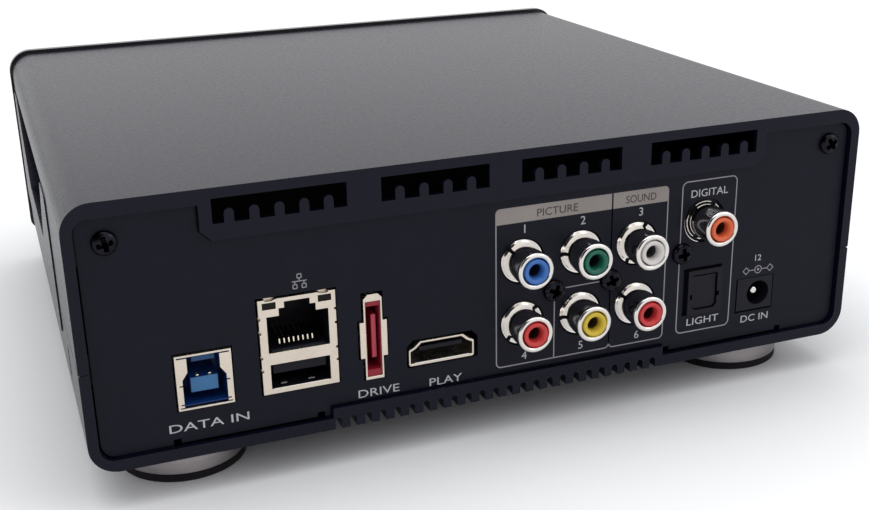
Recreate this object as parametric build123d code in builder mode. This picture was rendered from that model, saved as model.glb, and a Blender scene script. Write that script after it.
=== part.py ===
from build123d import *
import os

# Home media player with a hard drive tray, as separate pieces.
#
# Sizes are millimetres. The part stands on its feet: the origin is on the ground under the middle of
# the part, +Z is up, the front faces -Y and the connectors face +Y. The drive tray leaves by +X.
# Places on the case are given from two datums: heights ("up") from the underside of the case, and
# depths from the rear rim, which are negative inside the case.

# --- case ---
case_width = 180.0
case_height = 56.3
shell_depth = 163.4  # rear rim to the back of the front bezel
bezel_thickness = 3.0
wall = 2.2
corner_radius = 6.0
seam_height = 22.0  # where the upper shell meets the lower one
seam_gap = 0.1
seam_chamfer = 0.3  # on the outer edges that meet there
rim_thickness = 1.2  # the rear rims and their aprons
rim_top = 53.1
rim_low = 2.6
rim_radius = 3.0

# --- upper apron, with the castellated vents ---
apron_half = 64.25
apron_low = 45.6
apron_chamfer = 2.2
vent_low = 49.0
vent_tooth_width = 2.0
vent_tooth_height = 2.85
outer_vent = (34.6, 61.7, 38.4, 5.0, 5)  # from, to, first tooth, pitch, teeth
inner_vent = (3.7, 27.4, 7.75, 5.23, 4)

# --- lower apron, with the comb of notches ---
comb_apron_half = 39.8
comb_apron_top = 4.85
comb_notches = 24
comb_pitch = 3.3
comb_width = 1.45
comb_top = 2.5
comb_depth = 9.0
comb_centre = 0.8

# --- feet ---
foot_height = 8.8
foot_radius = 13.9
foot_pad_show = 1.8  # rubber that stands below the metal cup
foot_x = 69.0
foot_rear = -20.0
foot_front = -146.0

# --- boards ---
board_top = 10.2
board_thickness = 1.6
board_half = 84.0
board_rear = -3.5
board_front = -92.0
boss_radius = 3.0
pilot_radius = 1.2

# --- rear panel ---
panel_thickness = 1.0
panel_clearance = 0.2
panel_half = 87.4
panel_groove = 0.35  # width of the groove pressed along the rims and aprons
panel_groove_depth = 0.5
face = 0.7  # depth of the connector faces behind the rear rim
drive_port_depth = 15.0

# --- connectors: centre across, centre up, width, height ---
data_port = (65.85, 16.35, 11.4, 12.0)
network_port = (46.0, 20.93, 16.2, 20.9)
drive_port = (30.0, 19.4, 4.1, 19.3)
av_port = (14.85, 13.75, 15.0, 5.5)
optical_port = (-50.8, 16.55, 9.0, 11.0)
power_port = (-64.9, 13.7, 9.7, 8.1)

# --- phono jacks ---
phono_columns = (-4.4, -18.6, -32.55)
phono_rows = (30.95, 16.4)
digital_jack = (-49.95, 33.95)
sleeve_radius = 4.15
sleeve_bore = 2.95
sleeve_flange_radius = 4.95
sleeve_flange = 1.0
phono_reach = 6.1  # the sleeves' lips, out past the rear rim
digital_reach = 6.25
insert_proud = 0.25  # linings, out past the lips
insert_bore = 1.6
block_depth = 20.0

# --- drive tray, on the +X side ---
tray_door_rear = -42.0
tray_door_front = -160.5
tray_door_low = 14.0
tray_door_top = 46.0
tray_door_thickness = 2.6
tray_gap = 0.35
tray_proud = 0.35  # the door stands out past the side
grip_low = 25.5
grip_bottom_width = 48.0
grip_top_width = 92.0
drive_width = 101.6
drive_middle = -98.5
sheet = 1.0
tray_travel = 140.0

# --- front ---
window_width = 104.0
window_height = 24.0
window_up = 29.5
window_thickness = 1.9
window_ledge = 2.5
button_x = 70.0
button_radius = 5.5
button_gap = 0.2
button_proud = 0.4

half_width = case_width / 2
inner_half = half_width - wall
inner_top = case_height - wall
panel_back = rim_thickness + panel_thickness
boss_gap = 0.1
jack_front = panel_back + boss_gap
rear_y = (shell_depth + bezel_thickness + button_proud - digital_reach - insert_proud) / 2


def rear_plane(inset=0.0):
    """Upright plane, inset from the rear rim: x is +X, y is up from the case, normal into the case."""
    return Plane(origin=(0, rear_y - inset, foot_height), x_dir=(1, 0, 0), z_dir=(0, -1, 0))


def level(height):
    """Flat plane at a height above the underside of the case: y is the distance from the rear rim."""
    return Plane(origin=(0, rear_y, foot_height + height), x_dir=(1, 0, 0), z_dir=(0, 0, 1))


def side_plane(across):
    """Upright plane facing +X: x is the distance from the rear rim, y is up from the case."""
    return Plane(origin=(across, rear_y, foot_height), x_dir=(0, 1, 0), z_dir=(1, 0, 0))


def rect(x0, x1, y0, y1, mode=Mode.ADD):
    """A rectangle by its edges, in the current sketch."""
    with Locations(((x0 + x1) / 2, (y0 + y1) / 2)):
        Rectangle(abs(x1 - x0), abs(y1 - y0), mode=mode)


def rect_at(place, grow=0.0, mode=Mode.ADD):
    """A connector's rectangle, grown on every side, in the current sketch."""
    across, up, width, height = place
    with Locations((across, up)):
        Rectangle(width + 2 * grow, height + 2 * grow, mode=mode)


def bar(plane, x0, x1, y0, y1, depth, mode=Mode.ADD):
    """A rectangular bar along the plane's normal, in the current part."""
    with BuildSketch(plane) as section:
        rect(x0, x1, y0, y1)
    extrude(section.sketch, amount=depth, mode=mode)


def rod(plane, points, radius, depth, mode=Mode.ADD):
    """Round rods or holes along the plane's normal, in the current part."""
    with BuildSketch(plane) as section:
        with Locations(*points):
            Circle(radius)
    extrude(section.sketch, amount=depth, mode=mode)


def save(piece, label):
    """Names the finished piece and writes it."""
    piece.part.label = label
    export_step(piece.part, f"parts/{label}.step")


os.makedirs("parts", exist_ok=True)


# ---------------------------------------------------------------- upper shell
board_screws_at = [(79, -10), (-79, -10), (79, -86), (-79, -86), (50, -39.5), (-50, -39.5)]
bay_floor_screws_at = [(50, -149.5), (-50, -149.5)]
panel_screws_at = [(82.1, 47.85), (-82.4, 48.3)]
jack_screws_at = [(-11.95, 23.0), (-26.0, 23.25), (-44.3, 26.7)]


def tray_opening(grow):
    """The tray's opening in the +X wall, cut from the current part."""
    with BuildSketch(side_plane(half_width + 1)) as opening:
        rect(tray_door_front - grow, tray_door_rear + grow, tray_door_low - grow, tray_door_top + grow)
        fillet(opening.vertices(), 2.5)
    extrude(opening.sketch, amount=-(wall + 4), mode=Mode.SUBTRACT)


def vent_outline(vent, side):
    """One vent window with its round-topped teeth, in the current sketch."""
    start, end, first, pitch, teeth = vent
    rect(side * start, side * end, vent_low, inner_top)
    for tooth in range(teeth):
        middle = side * (first + pitch * tooth)
        half = vent_tooth_width / 2
        rect(middle - half, middle + half, vent_low, vent_low + vent_tooth_height - half, Mode.SUBTRACT)
        with Locations((middle, vent_low + vent_tooth_height - half)):
            Circle(half, mode=Mode.SUBTRACT)


def upper_opening():
    """What the upper rim and its apron leave open, in the current sketch."""
    with BuildSketch() as opening:
        rect(-inner_half, inner_half, seam_height, rim_top)
        fillet(opening.vertices().group_by(Axis.Y)[-1], rim_radius)
        with BuildSketch(mode=Mode.SUBTRACT) as apron:
            rect(-apron_half, apron_half, apron_low, case_height)
            chamfer(apron.vertices().group_by(Axis.Y)[0], apron_chamfer)
    add(opening.sketch_local)


with BuildPart() as top_shell:
    with BuildSketch(rear_plane()) as outside:
        rect(-half_width, half_width, seam_height, case_height)
        fillet(outside.vertices().group_by(Axis.Y)[-1], corner_radius)
        chamfer(outside.vertices().group_by(Axis.Y)[0], seam_chamfer)
    extrude(amount=shell_depth)
    with BuildSketch(rear_plane(rim_thickness)) as inside:
        rect(-inner_half, inner_half, seam_height, inner_top)
        fillet(inside.vertices().group_by(Axis.Y)[-1], corner_radius - wall)
    extrude(amount=shell_depth, mode=Mode.SUBTRACT)
    # the rear rim, with the apron that hangs over the panel
    with BuildSketch(rear_plane()):
        upper_opening()
    extrude(amount=rim_thickness, mode=Mode.SUBTRACT)
    with BuildSketch(rear_plane()):
        for side in (-1, 1):
            vent_outline(outer_vent, side)
            vent_outline(inner_vent, side)
    extrude(amount=rim_thickness, mode=Mode.SUBTRACT)
    # lugs that take the panel's two screws
    for side in (-1, 1):
        bar(rear_plane(panel_back), side * 77, side * (inner_half + 0.5), 43.5, inner_top + 0.5, 8)
    rod(rear_plane(panel_back), panel_screws_at, pilot_radius, 6, Mode.SUBTRACT)
    tray_opening(tray_gap)
save(top_shell, "top_shell")


# ---------------------------------------------------------------- lower shell
tongue_outer = inner_half - 0.1
tongue_thickness = 1.1
tongue_low = seam_height - 4
tongue_top = seam_height + 2.5
floor_slots = 12
slot_pitch = 8.0
lock_slot_at = -28.0

def lower_opening():
    """What the lower rim and its apron leave open, in the current sketch."""
    with BuildSketch() as opening:
        rect(-inner_half, inner_half, rim_low, seam_height)
        fillet(opening.vertices().group_by(Axis.Y)[0], rim_radius)
        rect(-comb_apron_half, comb_apron_half, 0, comb_apron_top, Mode.SUBTRACT)
    add(opening.sketch_local)


with BuildPart() as bottom_shell:
    with BuildSketch(rear_plane()) as outside:
        rect(-half_width, half_width, 0, seam_height - seam_gap)
        fillet(outside.vertices().group_by(Axis.Y)[0], corner_radius)
        chamfer(outside.vertices().group_by(Axis.Y)[-1], seam_chamfer)
    extrude(amount=shell_depth)
    with BuildSketch(rear_plane(rim_thickness)) as inside:
        rect(-inner_half, inner_half, wall, seam_height)
        fillet(inside.vertices().group_by(Axis.Y)[0], corner_radius - wall)
    extrude(amount=shell_depth, mode=Mode.SUBTRACT)
    # the rear rim, with the apron that carries the comb
    with BuildSketch(rear_plane()):
        lower_opening()
    extrude(amount=rim_thickness, mode=Mode.SUBTRACT)
    # tongues that stand up inside the upper shell, on a root along the wall
    for side in (-1, 1):
        across = side * tongue_outer
        bar(rear_plane(4), across, across - side * tongue_thickness, tongue_low, tongue_top, 153)
        root = side * (inner_half + 0.2)
        bar(rear_plane(4), across - side * 0.2, root, tongue_low, seam_height - seam_gap, 153)
    # board and drive bay bosses, and the bosses over the feet
    rod(level(wall - 0.2), board_screws_at, boss_radius, board_top - board_thickness - wall + 0.2)
    rod(level(wall - 0.2), bay_floor_screws_at, boss_radius, 3.2)
    feet_at = [(x, y) for x in (foot_x, -foot_x) for y in (foot_rear, foot_front)]
    rod(level(wall - 0.2), feet_at, 4.0, 4.2)
    # comb of notches, floor vents and screw holes
    with BuildSketch(rear_plane()):
        for notch in range(comb_notches):
            middle = comb_centre + comb_pitch * (notch - (comb_notches - 1) / 2)
            rect(middle - comb_width / 2, middle + comb_width / 2, -1, comb_top - comb_width / 2)
            with Locations((middle, comb_top - comb_width / 2)):
                Circle(comb_width / 2)
    extrude(amount=comb_depth, mode=Mode.SUBTRACT)
    with BuildSketch(level(-1)):
        with Locations((0, -120)):
            with GridLocations(slot_pitch, 0, floor_slots, 1):
                Rectangle(3, 34)
    extrude(amount=wall + 2, mode=Mode.SUBTRACT)
    rod(level(board_top - board_thickness), board_screws_at, pilot_radius, -5, Mode.SUBTRACT)
    rod(level(wall + 3), bay_floor_screws_at, pilot_radius, -4, Mode.SUBTRACT)
    rod(level(0), feet_at, pilot_radius, 7, Mode.SUBTRACT)
    # the lock slot, low on the +X side near the rear
    lock_slot = (lock_slot_at - 1.5, lock_slot_at + 1.5, 9.5, 16.5)
    bar(side_plane(half_width), *lock_slot, -(wall + 2), Mode.SUBTRACT)
    tray_opening(tray_gap)
save(bottom_shell, "bottom_shell")


# ---------------------------------------------------------------- rear panel
cutout_gap = 0.35
phono_hole = sleeve_flange_radius + 0.35
edge_slots = ((41.3, 73.2), (-40.5, -73.0))
edge_slot_top = 3.1
edge_slot_notch = 1.6  # width of the higher place at each of its ends
phono_places = [(x, up) for x in phono_columns for up in phono_rows]

def rect_between(place, left, right, below, above, mode=Mode.ADD):
    """A connector's rectangle with its own gap on each side, in the current sketch."""
    across, up, width, height = place
    low = up - height / 2 - below
    high = up + height / 2 + above
    rect(across - width / 2 - left, across + width / 2 + right, low, high, mode)


def drive_port_wings(grow, mode=Mode.ADD):
    """The two wings half way up the external drive port, in the current sketch."""
    across, up, width, height = drive_port
    half = width / 2 + 0.95 + grow
    rect(across - half, across + half, up - 4.65 - grow, up + 3.55 + grow, mode)


with BuildPart() as rear_panel:
    with BuildSketch(rear_plane(rim_thickness)) as outline:
        rect(-panel_half, panel_half, wall + panel_clearance, inner_top - panel_clearance)
        fillet(outline.vertices(), corner_radius - wall)
        # the panel stops below the vents, and leaves two slots along its lower edge
        rect(-apron_half + 1.5, apron_half - 1.5, vent_low - 0.8, case_height, Mode.SUBTRACT)
        for start, end in edge_slots:
            side = 1 if end > start else -1
            rect(start, end, 0, edge_slot_top, Mode.SUBTRACT)
            rect(start, start + side * edge_slot_notch, 0, edge_slot_top + 1, Mode.SUBTRACT)
            rect(end, end - side * edge_slot_notch, 0, edge_slot_top + 1, Mode.SUBTRACT)
        rect_at(data_port, cutout_gap, Mode.SUBTRACT)
        rect_at(network_port, cutout_gap, Mode.SUBTRACT)
        rect_at(drive_port, cutout_gap, Mode.SUBTRACT)
        drive_port_wings(cutout_gap, Mode.SUBTRACT)
        with BuildSketch(mode=Mode.SUBTRACT) as av_cutout:
            rect_between(av_port, 1.1, 0.3, 0.55, 0.3)
            chamfer(av_cutout.vertices().group_by(Axis.Y)[-1], 1.4)
            fillet(av_cutout.vertices().group_by(Axis.Y)[0], 0.5)
        rect_between(optical_port, 0.1, 1.15, 0.1, 0.6, Mode.SUBTRACT)
        rect_between(power_port, 0.3, 0.3, 0.45, 0.1, Mode.SUBTRACT)
        with Locations(*phono_places, digital_jack):
            Circle(phono_hole, mode=Mode.SUBTRACT)
        with Locations(*panel_screws_at, *jack_screws_at):
            Circle(1.6, mode=Mode.SUBTRACT)
    extrude(amount=panel_thickness)
    with BuildSketch(rear_plane(rim_thickness)):
        upper_opening()
        lower_opening()
        offset(amount=-panel_groove, mode=Mode.SUBTRACT)
    extrude(amount=panel_groove_depth, mode=Mode.SUBTRACT)
save(rear_panel, "rear_panel")


# ---------------------------------------------------------------- front bezel
bezel_proud = 0.7  # past the sides of the case
bezel_low = 1.2
bezel_high = case_height + 0.9
bezel_front = shell_depth + bezel_thickness
plug_length = 5.0
plug_wall = 1.6
front_board_back = 157.5  # depth of the rear face of the front board
front_board_thickness = 1.6
front_boss_at = [(x, up) for x in (-58, 58) for up in (13, 46)]
button_at = (button_x, window_up)

with BuildPart() as front_bezel:
    with BuildSketch(rear_plane(shell_depth)) as outline:
        rect(-half_width - bezel_proud, half_width + bezel_proud, bezel_low, bezel_high)
        fillet(outline.vertices().group_by(Axis.Y)[-1], corner_radius + 0.5)
        fillet(outline.vertices().group_by(Axis.Y)[0], 3.0)
    extrude(amount=bezel_thickness)
    chamfer(front_bezel.faces().sort_by(Axis.Y)[0].edges(), 0.7)
    # the ring that plugs into the two shells
    with BuildSketch(rear_plane(shell_depth)) as ring:
        rect(-86.2, 86.2, 2.6, inner_top - 0.3)
        fillet(ring.vertices(), 3.4)
        offset(amount=-plug_wall, mode=Mode.SUBTRACT)
    extrude(amount=-plug_length)
    boss_length = shell_depth - front_board_back - front_board_thickness
    rod(rear_plane(shell_depth), front_boss_at, boss_radius, -boss_length)
    # the window's seat, its through opening, and the button's hole
    with BuildSketch(rear_plane(bezel_front - window_thickness - 0.1)) as seat:
        with Locations((0, window_up)):
            Rectangle(window_width, window_height)
        fillet(seat.vertices(), 2.0)
    extrude(amount=3, mode=Mode.SUBTRACT)
    with BuildSketch(rear_plane(shell_depth - 1)) as opening:
        with Locations((0, window_up)):
            Rectangle(window_width - 2 * window_ledge, window_height - 2 * window_ledge)
    extrude(amount=6, mode=Mode.SUBTRACT)
    rod(rear_plane(shell_depth - 1), [button_at], button_radius + button_gap, 6, Mode.SUBTRACT)
    rod(rear_plane(shell_depth - 8), front_boss_at, pilot_radius, 8, Mode.SUBTRACT)
save(front_bezel, "front_bezel")


with BuildPart() as display_window:
    with BuildSketch(rear_plane(bezel_front - window_thickness - 0.1)) as lens:
        with Locations((0, window_up)):
            Rectangle(window_width - 0.2, window_height - 0.2)
        fillet(lens.vertices(), 1.9)
    extrude(amount=window_thickness)
    chamfer(display_window.faces().sort_by(Axis.Y)[0].edges(), 0.3)
save(display_window, "display_window")


with BuildPart() as front_board:
    with BuildSketch(rear_plane(front_board_back)):
        rect(-80, 80, 8, 50.5)
        with Locations(*front_boss_at):
            Circle(1.6, mode=Mode.SUBTRACT)
    extrude(amount=front_board_thickness)
save(front_board, "front_board")


with BuildPart() as display_module:
    module_base = front_board_back + front_board_thickness
    bar(rear_plane(module_base), -42, 42, window_up - 9, window_up + 9, 1.6)
    bar(rear_plane(module_base + 1.6), -40, 40, window_up - 8, window_up + 8, 3.0)
    chamfer(display_module.faces().sort_by(Axis.Y)[0].edges(), 0.4)
save(display_module, "display_module")


# ---------------------------------------------------------------- power button and its switch
button_flange = 1.0
switch_height = 1.6

with BuildPart() as power_switch:
    switch_base = front_board_back + front_board_thickness
    bar(rear_plane(switch_base), button_x - 3, button_x + 3, window_up - 3, window_up + 3, switch_height)
    chamfer(power_switch.faces().sort_by(Axis.Y)[0].edges(), 0.3)
    rod(rear_plane(switch_base + switch_height), [button_at], 1.6, 0.4)
save(power_switch, "power_switch")

with BuildPart() as power_button:
    rod(rear_plane(shell_depth), [button_at], button_radius, bezel_thickness + button_proud)
    chamfer(power_button.faces().sort_by(Axis.Y)[0].edges(), 0.4)
    rod(rear_plane(shell_depth - 0.1), [button_at], button_radius + 1, -button_flange)
    rod(rear_plane(shell_depth - 0.2), [button_at], button_radius, 0.4)
    rod(rear_plane(shell_depth - 0.1 - button_flange), [button_at], 2.0, -0.5)
save(power_button, "power_button")


# ---------------------------------------------------------------- main board and what it carries
board_hole = 1.6

with BuildPart() as main_board:
    with BuildSketch(level(board_top - board_thickness)) as outline:
        rect(-board_half, board_half, board_front, board_rear)
        chamfer(outline.vertices().group_by(Axis.Y)[0], 4)
        with Locations(*board_screws_at):
            Circle(board_hole, mode=Mode.SUBTRACT)
        # a notch that the external drive port sits down into
        notch_half = drive_port[2] / 2 + 0.1
        notch_end = -face - drive_port_depth - 0.2
        rect(drive_port[0] - notch_half, drive_port[0] + notch_half, notch_end, board_rear, Mode.SUBTRACT)
    extrude(amount=board_thickness)
save(main_board, "main_board")

processor_at = (12.0, -64.0)
processor_side = 23.0
processor_height = 1.5
sink_side = 36.0
fin_count = 9

with BuildPart() as processor:
    with BuildSketch(level(board_top)):
        with Locations(processor_at):
            Rectangle(processor_side, processor_side)
    extrude(amount=processor_height)
    chamfer(processor.faces().sort_by(Axis.Z)[-1].edges(), 0.3)
save(processor, "processor")

with BuildPart() as heat_sink:
    with BuildSketch(level(board_top + processor_height)):
        with Locations(processor_at):
            Rectangle(sink_side, sink_side)
    extrude(amount=0.8)
    with BuildSketch(level(board_top + processor_height + 0.8)):
        with Locations(processor_at):
            with GridLocations((sink_side - 1) / (fin_count - 1), 0, fin_count, 1):
                Rectangle(1, sink_side)
    extrude(amount=1.2)
save(heat_sink, "heat_sink")

with BuildPart() as memory_chips:
    with BuildSketch(level(board_top)):
        with Locations((-22, -56), (-22, -74)):
            Rectangle(9, 13)
    extrude(amount=1.1)
save(memory_chips, "memory_chips")

capacitor_places = [(-72, -27), (-72, -37), (8, -32), (18, -32)]

with BuildPart() as capacitors:
    rod(level(board_top), capacitor_places, 4.0, 11)
    chamfer(capacitors.faces().group_by(Axis.Z)[-1].edges(), 0.5)
save(capacitors, "capacitors")


# ---------------------------------------------------------------- data port (square device socket)
port_wall = 0.4
port_depth = 18.0
data_x, data_up, data_width, data_height = data_port
data_low = data_up - data_height / 2
data_high = data_up + data_height / 2
data_cheek = data_width / 2 - port_wall


def data_port_mouth(low):
    """The stepped mouth: wide below, with a neck that runs out through the top, in the current sketch."""
    with BuildLine() as mouth:
        Polyline(
            (data_x - 4.45, low),
            (data_x + 4.45, low),
            (data_x + 4.45, data_up + 0.6),
            (data_x + 3.3, data_up + 2.25),
            (data_x + 3.3, data_high - port_wall),
            (data_x - 3.3, data_high - port_wall),
            (data_x - 3.3, data_up + 2.25),
            (data_x - 4.45, data_up + 0.6),
            close=True,
        )
    make_face(mouth.edges())


with BuildPart() as data_port_shell:
    with BuildSketch(rear_plane(face)):
        rect_at(data_port)
    extrude(amount=port_depth)
    with BuildSketch(rear_plane(face + port_wall)):
        rect_at(data_port, -port_wall)
    extrude(amount=port_depth, mode=Mode.SUBTRACT)
    # the front is folded over, so it stands clear of the top and the bottom
    with BuildSketch(rear_plane(face)):
        data_port_mouth(data_low + port_wall)
        rect(data_x - data_cheek, data_x + data_cheek, data_high - 0.7, data_high - port_wall)
        rect(data_x - data_cheek, data_x + data_cheek, data_low + port_wall, data_low + 0.65)
        for height in (data_low + 1.1, data_low + 5.25):
            rect(data_x - 5.1, data_x + 5.1, height, height + 0.3)
    extrude(amount=port_wall, mode=Mode.SUBTRACT)
save(data_port_shell, "data_port_shell")

with BuildPart() as data_port_core:
    with BuildSketch(rear_plane(face + port_wall)):
        rect_at(data_port, -port_wall)
    extrude(amount=port_depth - port_wall)
    with BuildSketch(rear_plane(face + port_wall)):
        data_port_mouth(data_low + 1.0)
    extrude(amount=9.0, mode=Mode.SUBTRACT)
    with BuildSketch(rear_plane(face + port_wall)):
        rect(data_x - data_cheek, data_x + data_cheek, data_low + port_wall, data_low + 0.8)
    extrude(amount=1.5, mode=Mode.SUBTRACT)
    # the tongues that carry the contacts
    bar(rear_plane(face + 1.2), data_x - 2.85, data_x + 2.75, 13.55, 16.8, 9.0)
    bar(rear_plane(face + 1.2), data_x - 2.5, data_x + 2.2, 20.3, 21.7, 9.0)
save(data_port_core, "data_port_core")


# ---------------------------------------------------------------- network port over a host port
network_x, network_up, network_width, network_height = network_port
network_low = network_up - network_height / 2
network_high = network_up + network_height / 2
network_depth = 21.0
network_half = network_width / 2
side_notches = (5.3, 8.2, 13.7, 16.8)  # up from the bottom of the port


def network_mouth():
    """The network socket's mouth, with the two steps of the latch's slot, in the current sketch."""
    rect(network_x - 6.45, network_x + 6.45, network_low + 9.12, network_low + 17.12)
    rect(network_x - 3.85, network_x + 3.85, network_low + 17.12, network_low + 18.72)
    rect(network_x - 2.65, network_x + 2.65, network_low + 18.72, network_low + 20.02)


def host_mouth():
    """The flat host socket's mouth, in the current sketch."""
    rect(network_x - 6.3, network_x + 6.3, network_low + 1.12, network_low + 6.52)


with BuildPart() as network_port_shell:
    with BuildSketch(rear_plane(face)):
        rect_at(network_port)
    extrude(amount=network_depth)
    with BuildSketch(rear_plane(face + port_wall)):
        rect_at(network_port, -port_wall)
    extrude(amount=network_depth, mode=Mode.SUBTRACT)
    with BuildSketch(rear_plane(face)):
        network_mouth()
        host_mouth()
        for side in (-1, 1):
            rect(network_x + side * 4.4, network_x + side * 7.2, network_low + 18.77, network_low + 20.22)
    extrude(amount=port_wall, mode=Mode.SUBTRACT)
    # the dips in the top edge between the ears, and the notches down both sides
    with BuildSketch(rear_plane(face)):
        for side in (-1, 1):
            inner = network_x + side * 4.3
            outer = network_x + side * 6.6
            with BuildLine() as dip:
                Polyline(
                    (inner, network_high),
                    (inner + side * 0.9, network_high - 0.35),
                    (outer, network_high - 0.35),
                    (outer, network_high + 1),
                    (inner, network_high + 1),
                    close=True,
                )
            make_face(dip.edges())
            edge = network_x + side * network_half
            for height in side_notches:
                notch_up = network_low + height
                rect(edge - side * 0.35, edge + side, notch_up - 0.25, notch_up + 0.25)
    extrude(amount=1.2, mode=Mode.SUBTRACT)
save(network_port_shell, "network_port_shell")

with BuildPart() as network_port_core:
    with BuildSketch(rear_plane(face + port_wall)):
        rect_at(network_port, -port_wall)
    extrude(amount=network_depth - port_wall)
    with BuildSketch(rear_plane(face + port_wall)):
        network_mouth()
    extrude(amount=13.0, mode=Mode.SUBTRACT)
    with BuildSketch(rear_plane(face + port_wall)):
        host_mouth()
    extrude(amount=11.0, mode=Mode.SUBTRACT)
    # the host socket's tongue
    with BuildSketch(rear_plane(face + 1.0)):
        rect(network_x - 5.6, network_x + 5.6, network_low + 4.12, network_low + 5.92)
    extrude(amount=11.0)
save(network_port_core, "network_port_core")


# ---------------------------------------------------------------- external drive port (upright slot)
drive_x, drive_up, drive_port_width, drive_port_height = drive_port
drive_port_low = drive_up - drive_port_height / 2
drive_port_high = drive_up + drive_port_height / 2


def drive_port_inside():
    """The space in the port's cover, in a sketch of its own."""
    with BuildSketch(rear_plane(face + port_wall)) as space:
        rect_at(drive_port, -port_wall)
        chamfer(space.vertices().group_by(Axis.Y)[-1], 0.7)
    return space.sketch


with BuildPart() as drive_port_shell:
    with BuildSketch(rear_plane(face)):
        with BuildSketch() as cover:
            rect_at(drive_port)
            chamfer(cover.vertices().group_by(Axis.Y)[-1], 0.9)
        # the wings hold the plug
        drive_port_wings(0)
    extrude(amount=drive_port_depth)
    # tabs that rest on the board on both sides of its notch
    bar(rear_plane(5), drive_x - 3.6, drive_x + 3.6, board_top, board_top + 0.6, 8)
    extrude(drive_port_inside(), amount=drive_port_depth, mode=Mode.SUBTRACT)
    with BuildSketch(rear_plane(face)):
        rect(drive_x - 1.65, drive_x + 1.65, drive_port_low + 0.6, drive_port_high - 1.6)
    extrude(amount=port_wall, mode=Mode.SUBTRACT)
save(drive_port_shell, "drive_port_shell")

with BuildPart() as drive_port_core:
    extrude(drive_port_inside(), amount=drive_port_depth - port_wall)
    with BuildSketch(rear_plane(face + port_wall)):
        rect(drive_x - 1.45, drive_x + 1.45, drive_up - 7.6, drive_up + 6.9)
    extrude(amount=8.0, mode=Mode.SUBTRACT)
    bar(rear_plane(face + 1.2), drive_x - 0.85, drive_x + 0.2, drive_up - 5.2, drive_up + 4.7, 8.0)
save(drive_port_core, "drive_port_core")


# ---------------------------------------------------------------- picture and sound port (flat, chamfered)
av_x, av_up, av_width, av_height = av_port
av_low = av_up - av_height / 2
av_high = av_up + av_height / 2
av_depth = 11.0
av_lip = 0.6  # the bottom of the cover is thicker than its other walls


def av_outline(inset, lift):
    """The flat socket's outline, wide below and drawn in above, less an inset, in the current sketch."""
    half = av_width / 2 - inset
    high = av_high - inset
    with BuildLine() as outline:
        Polyline(
            (av_x - half, av_low + lift),
            (av_x + half, av_low + lift),
            (av_x + half, high - 1.75),
            (av_x + half - 1.2, high - 1.15),
            (av_x + half - 2.5, high),
            (av_x - half + 2.5, high),
            (av_x - half + 1.2, high - 1.15),
            (av_x - half, high - 1.75),
            close=True,
        )
    make_face(outline.edges())


with BuildPart() as av_port_shell:
    with BuildSketch(rear_plane(face)) as cover:
        av_outline(0, 0)
        fillet(cover.vertices().group_by(Axis.Y)[0], 0.5)
    extrude(amount=av_depth)
    with BuildSketch(rear_plane(face)):
        av_outline(port_wall, av_lip)
    extrude(amount=av_depth, mode=Mode.SUBTRACT)
save(av_port_shell, "av_port_shell")

with BuildPart() as av_port_core:
    with BuildSketch(rear_plane(face + 7.0)):
        av_outline(port_wall, av_lip)
    extrude(amount=av_depth - 7.0)
    bar(rear_plane(face + 0.6), av_x - 4.9, av_x + 4.9, av_up + 0.4, av_up + 1.3, 7.0)
    # the foot that stands on the board, behind the panel, and the heel that joins it on
    bar(rear_plane(3.6), av_x - 6, av_x + 6, board_top, av_low, face + av_depth - 3.6)
    bar(rear_plane(face + av_depth), av_x - 6, av_x + 6, board_top, av_up + 2, 1.6)
save(av_port_core, "av_port_core")


# ---------------------------------------------------------------- phono jacks
block_top = 38.4

with BuildPart() as jack_block:
    with BuildSketch(rear_plane(jack_front)) as outline:
        rect(-39.2, 2.3, board_top, block_top)
        chamfer(outline.vertices().group_by(Axis.Y)[-1], 1.5)
    extrude(amount=block_depth)
    rod(rear_plane(jack_front), phono_places, sleeve_bore, 9.0, Mode.SUBTRACT)
    rod(rear_plane(jack_front), jack_screws_at[:2], pilot_radius, 7.0, Mode.SUBTRACT)
save(jack_block, "jack_block")

with BuildPart() as digital_jack_housing:
    with BuildSketch(rear_plane(jack_front)):
        rect(-55.6, -40.4, 24.0, 40.3)
        rect(-43.8, -40.4, board_top, 24.0)
    extrude(amount=12.0)
    rod(rear_plane(jack_front), [digital_jack], sleeve_bore, 9.0, Mode.SUBTRACT)
    rod(rear_plane(jack_front), jack_screws_at[2:], pilot_radius, 7.0, Mode.SUBTRACT)
save(digital_jack_housing, "digital_jack_housing")

lip_radius = 0.55


def phono_sleeve(place, reach, label):
    """A plated sleeve: a flange on the housing, a plain barrel and a rolled lip."""
    across, up = place
    tip = jack_front + reach
    axis_plane = Plane(
        origin=(across, rear_y - jack_front, foot_height + up), x_dir=(1, 0, 0), z_dir=(0, 0, 1)
    )
    with BuildPart() as sleeve:
        with BuildSketch(axis_plane) as profile:
            rect(sleeve_bore, sleeve_radius, 0, tip)
            fillet(profile.vertices().group_by(Axis.Y)[-1], lip_radius)
            with BuildLine():
                Polyline(
                    (sleeve_radius, 0),
                    (sleeve_flange_radius, 0),
                    (sleeve_flange_radius, sleeve_flange),
                    (sleeve_flange_radius - 0.3, sleeve_flange),
                    (sleeve_radius, sleeve_flange - 0.15),
                    close=True,
                )
            make_face()
        revolve(axis=Axis((across, rear_y, foot_height + up), (0, 1, 0)))
    save(sleeve, label + "_sleeve")


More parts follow.
